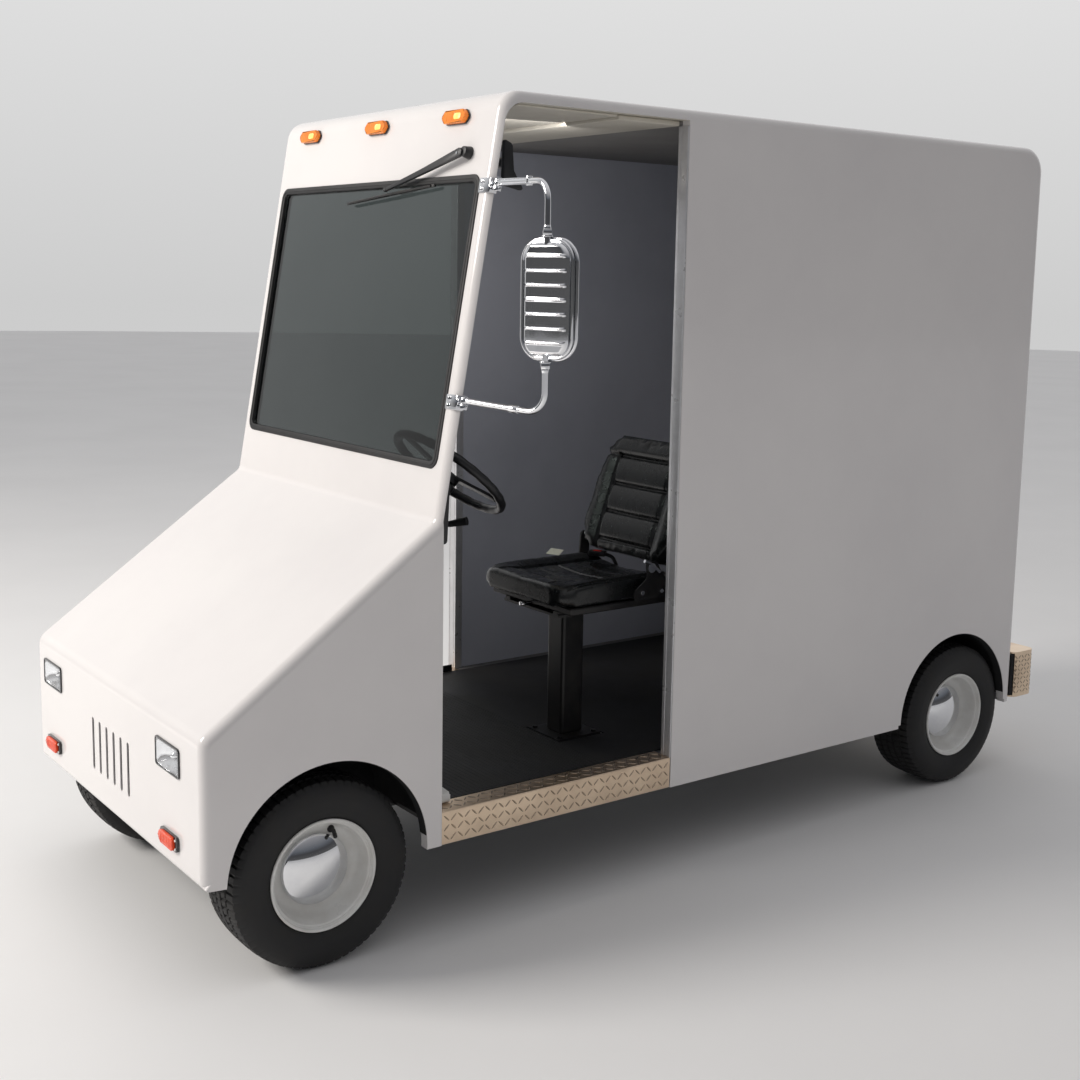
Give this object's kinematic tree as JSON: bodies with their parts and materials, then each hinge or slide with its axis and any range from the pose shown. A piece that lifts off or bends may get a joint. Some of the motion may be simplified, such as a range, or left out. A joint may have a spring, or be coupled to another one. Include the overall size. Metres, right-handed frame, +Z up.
{
  "type": "mail delivery truck",
  "caption": "Small walk-through mail delivery truck with open cab doorways, sloping hood, boxy cargo body, chrome mirror and single driver's seat.",
  "frame": {"origin": "on the ground, at the middle of the whole truck's box", "axes": "+Z up; the front faces -Y; the vehicle's left side, with the mirror, is +X"},
  "size_m": [1.6398, 3.397, 2.33],
  "materials": {
    "body_white": "glossy moulded gel-coat, white",
    "deck_grey": "satin grey paint",
    "rubber_black": "matt black rubber",
    "black_steel": "satin black paint",
    "plastic_black": "black moulded plastic",
    "tyre": "black tyre rubber with block tread",
    "rim_white": "white enamel",
    "chrome": "bright chrome plate",
    "mirror_glass": "silvered glass",
    "aluminium": "bright diamond tread plate and mill-finish channel",
    "lens_amber": "clear amber lens",
    "lens_red": "clear orange-red lens",
    "lamp_clear": "clear lens over a silvered reflector",
    "glass_tinted": "tinted laminated glass",
    "vinyl_black": "black grained vinyl over foam"
  },
  "bodies": {
    "truck": {"front_cowl": "body_white", "windshield_frame": "body_white", "roof_panel": "body_white", "side_panel_left": "body_white", "side_panel_right": "body_white", "rear_frame": "body_white", "floor_deck": "deck_grey", "floor_mat": "rubber_black", "dashboard": "plastic_black", "sill_plate_left": "aluminium", "sill_plate_right": "aluminium", "door_jamb_left": "aluminium", "door_jamb_right": "aluminium", "rear_bumper": "aluminium", "windshield_gasket": "rubber_black", "windshield_glass": "glass_tinted", "headlamp_left": "lamp_clear", "headlamp_right": "lamp_clear", "turn_signal_left": "lens_red", "turn_signal_right": "lens_red", "marker_lamp_left": "lens_amber", "marker_lamp_centre": "lens_amber", "marker_lamp_right": "lens_amber", "chassis_frame": "black_steel", "front_axle": "black_steel", "rear_axle": "black_steel", "battery_pack": "plastic_black", "steering_column": "plastic_black", "seat_pedestal": "black_steel", "mirror_clamp_lower": "chrome", "mirror_clamp_upper": "chrome"},
    "knuckle_left": {"knuckle_left": "black_steel"},
    "knuckle_right": {"knuckle_right": "black_steel"},
    "tie_rod": {"tie_rod": "black_steel"},
    "wheel_front_left": {"tyre_front_left": "tyre", "rim_front_left": "rim_white", "hub_cap_front_left": "chrome"},
    "wheel_front_right": {"tyre_front_right": "tyre", "rim_front_right": "rim_white", "hub_cap_front_right": "chrome"},
    "wheel_rear_left": {"tyre_rear_left": "tyre", "rim_rear_left": "rim_white", "hub_cap_rear_left": "chrome"},
    "wheel_rear_right": {"tyre_rear_right": "tyre", "rim_rear_right": "rim_white", "hub_cap_rear_right": "chrome"},
    "steering_wheel": {"steering_wheel": "plastic_black"},
    "signal_lever": {"signal_lever": "plastic_black"},
    "brake_pedal": {"brake_pedal": "black_steel"},
    "accelerator_pedal": {"accelerator_pedal": "black_steel"},
    "seat_slide": {"seat_base": "black_steel", "seat_cushion": "vinyl_black"},
    "seat_back": {"seat_back": "vinyl_black"},
    "mirror_arm": {"mirror_arm": "chrome"},
    "mirror_head": {"mirror_head": "chrome", "mirror_glass": "mirror_glass"},
    "wiper": {"wiper_arm": "plastic_black", "wiper_blade": "rubber_black"},
    "rear_door": {"rear_door": "body_white"},
    "rear_door_handle": {"rear_door_handle": "chrome"}
  },
  "joints": [
    {"name": "steer_left", "type": "hinge", "parent": "truck", "child": "knuckle_left", "pos_m": [0.2801, -1.3335, 0.26], "axis": [0, 0, 1], "range_deg": [-26, 26]},
    {"name": "steer_right", "type": "hinge", "parent": "truck", "child": "knuckle_right", "pos_m": [-0.6299, -1.3335, 0.26], "axis": [0, 0, 1], "range_deg": [-27, 27]},
    {"name": "tie_rod_slide", "type": "slide", "parent": "truck", "child": "tie_rod", "axis": [1, 0, 0], "range_m": [-0.055, 0.055]},
    {"name": "steering_wheel_turn", "type": "hinge", "parent": "truck", "child": "steering_wheel", "pos_m": [0.0681, -0.7135, 1.249], "axis": [0, 0.6559, 0.7549], "range_deg": [-318, 318]},
    {"name": "wheel_spin_front_left", "type": "hinge", "parent": "knuckle_left", "child": "wheel_front_left", "pos_m": [0.3571, -1.3335, 0.26], "axis": [1, 0, 0], "continuous": true},
    {"name": "wheel_spin_front_right", "type": "hinge", "parent": "knuckle_right", "child": "wheel_front_right", "pos_m": [-0.7069, -1.3335, 0.26], "axis": [1, 0, 0], "continuous": true},
    {"name": "wheel_spin_rear_left", "type": "hinge", "parent": "truck", "child": "wheel_rear_left", "pos_m": [0.3571, 1.2565, 0.26], "axis": [1, 0, 0], "continuous": true},
    {"name": "wheel_spin_rear_right", "type": "hinge", "parent": "truck", "child": "wheel_rear_right", "pos_m": [-0.7069, 1.2565, 0.26], "axis": [1, 0, 0], "continuous": true},
    {"name": "signal_lever_click", "type": "hinge", "parent": "truck", "child": "signal_lever", "pos_m": [0.0981, -0.8512, 1.0905], "axis": [0, 0.6559, 0.7549], "range_deg": [-12, 12]},
    {"name": "brake_press", "type": "hinge", "parent": "truck", "child": "brake_pedal", "pos_m": [0.0081, -0.9565, 0.665], "axis": [-1, 0, 0], "range_deg": [0, 14], "stiffness_Nm_per_rad": 12, "springref_deg": -6.88},
    {"name": "accelerator_press", "type": "hinge", "parent": "truck", "child": "accelerator_pedal", "pos_m": [0.1631, -0.9565, 0.665], "axis": [-1, 0, 0], "range_deg": [0, 14], "stiffness_Nm_per_rad": 8, "springref_deg": -6.88},
    {"name": "seat_slide", "type": "slide", "parent": "truck", "child": "seat_slide", "axis": [0, -1, 0], "range_m": [-0.06, 0.06]},
    {"name": "seat_back_fold", "type": "hinge", "parent": "seat_slide", "child": "seat_back", "pos_m": [0.0681, -0.0035, 0.955], "axis": [1, 0, 0], "range_deg": [-12, 70]},
    {"name": "mirror_arm_swing", "type": "hinge", "parent": "truck", "child": "mirror_arm", "pos_m": [0.4931, -0.9369, 1.5065], "axis": [0, 0.1705, 0.9854], "range_deg": [-60, 60]},
    {"name": "mirror_head_swivel", "type": "hinge", "parent": "mirror_arm", "child": "mirror_head", "pos_m": [0.7361, -0.8505, 1.78], "axis": [0, 0, 1], "range_deg": [-35, 35]},
    {"name": "wiper_sweep", "type": "hinge", "parent": "truck", "child": "wiper", "pos_m": [0.3451, -0.8311, 2.165], "axis": [0, -0.9854, 0.1705], "range_deg": [0, 75]},
    {"name": "rear_door_swing", "type": "hinge", "parent": "truck", "child": "rear_door", "pos_m": [0.3401, 1.5745, 1.284], "axis": [0, 0, -1], "range_deg": [0, 110]},
    {"name": "rear_handle_turn", "type": "hinge", "parent": "rear_door", "child": "rear_door_handle", "pos_m": [-0.5949, 1.5615, 1.05], "axis": [0, 1, 0], "range_deg": [0, 90]}
  ],
  "couplings": [
    {"joint": "steer_right", "follows": "steer_left", "ratio": 1},
    {"joint": "tie_rod_slide", "follows": "steer_left", "m_per_rad": -0.098},
    {"joint": "steering_wheel_turn", "follows": "steer_left", "ratio": 12}
  ]
}
